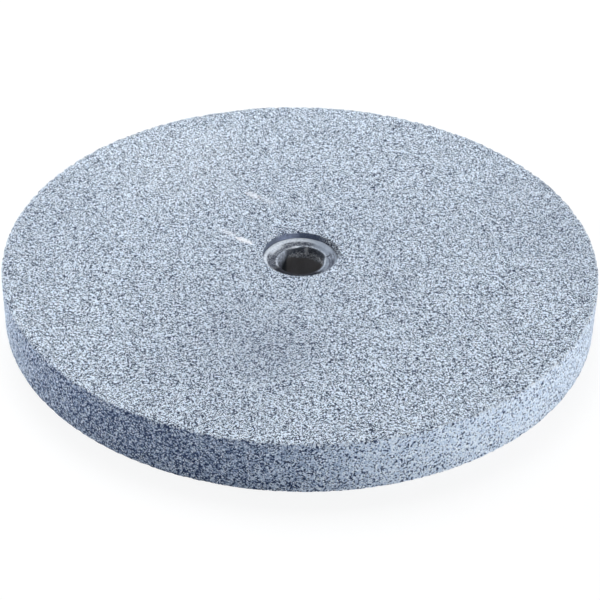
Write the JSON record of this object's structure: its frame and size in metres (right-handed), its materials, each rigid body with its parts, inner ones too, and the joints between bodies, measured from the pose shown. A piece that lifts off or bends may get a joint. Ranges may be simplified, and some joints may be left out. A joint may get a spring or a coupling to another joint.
{
  "type": "bench grinding wheel",
  "caption": "Flat, straight-sided grinding wheel of bonded abrasive grain, with a pale cast bush set back in its arbor hole for the spindle.",
  "frame": {"origin": "centre of the lower face, on the spindle's line", "axes": "+Z along the spindle's line, from the lower face to the upper; the crumbled stretch of the hole's upper edge lies between +X and +Y"},
  "size_m": [0.205, 0.205, 0.019],
  "materials": {
    "bonded_abrasive": "matt, coarse blue-grey grain",
    "cast_bush": "smooth pale grey casting with dark dust in its groove"
  },
  "bodies": {
    "root": {"abrasive_wheel": "bonded_abrasive", "arbor_bush": "cast_bush"}
  },
  "joints": []
}
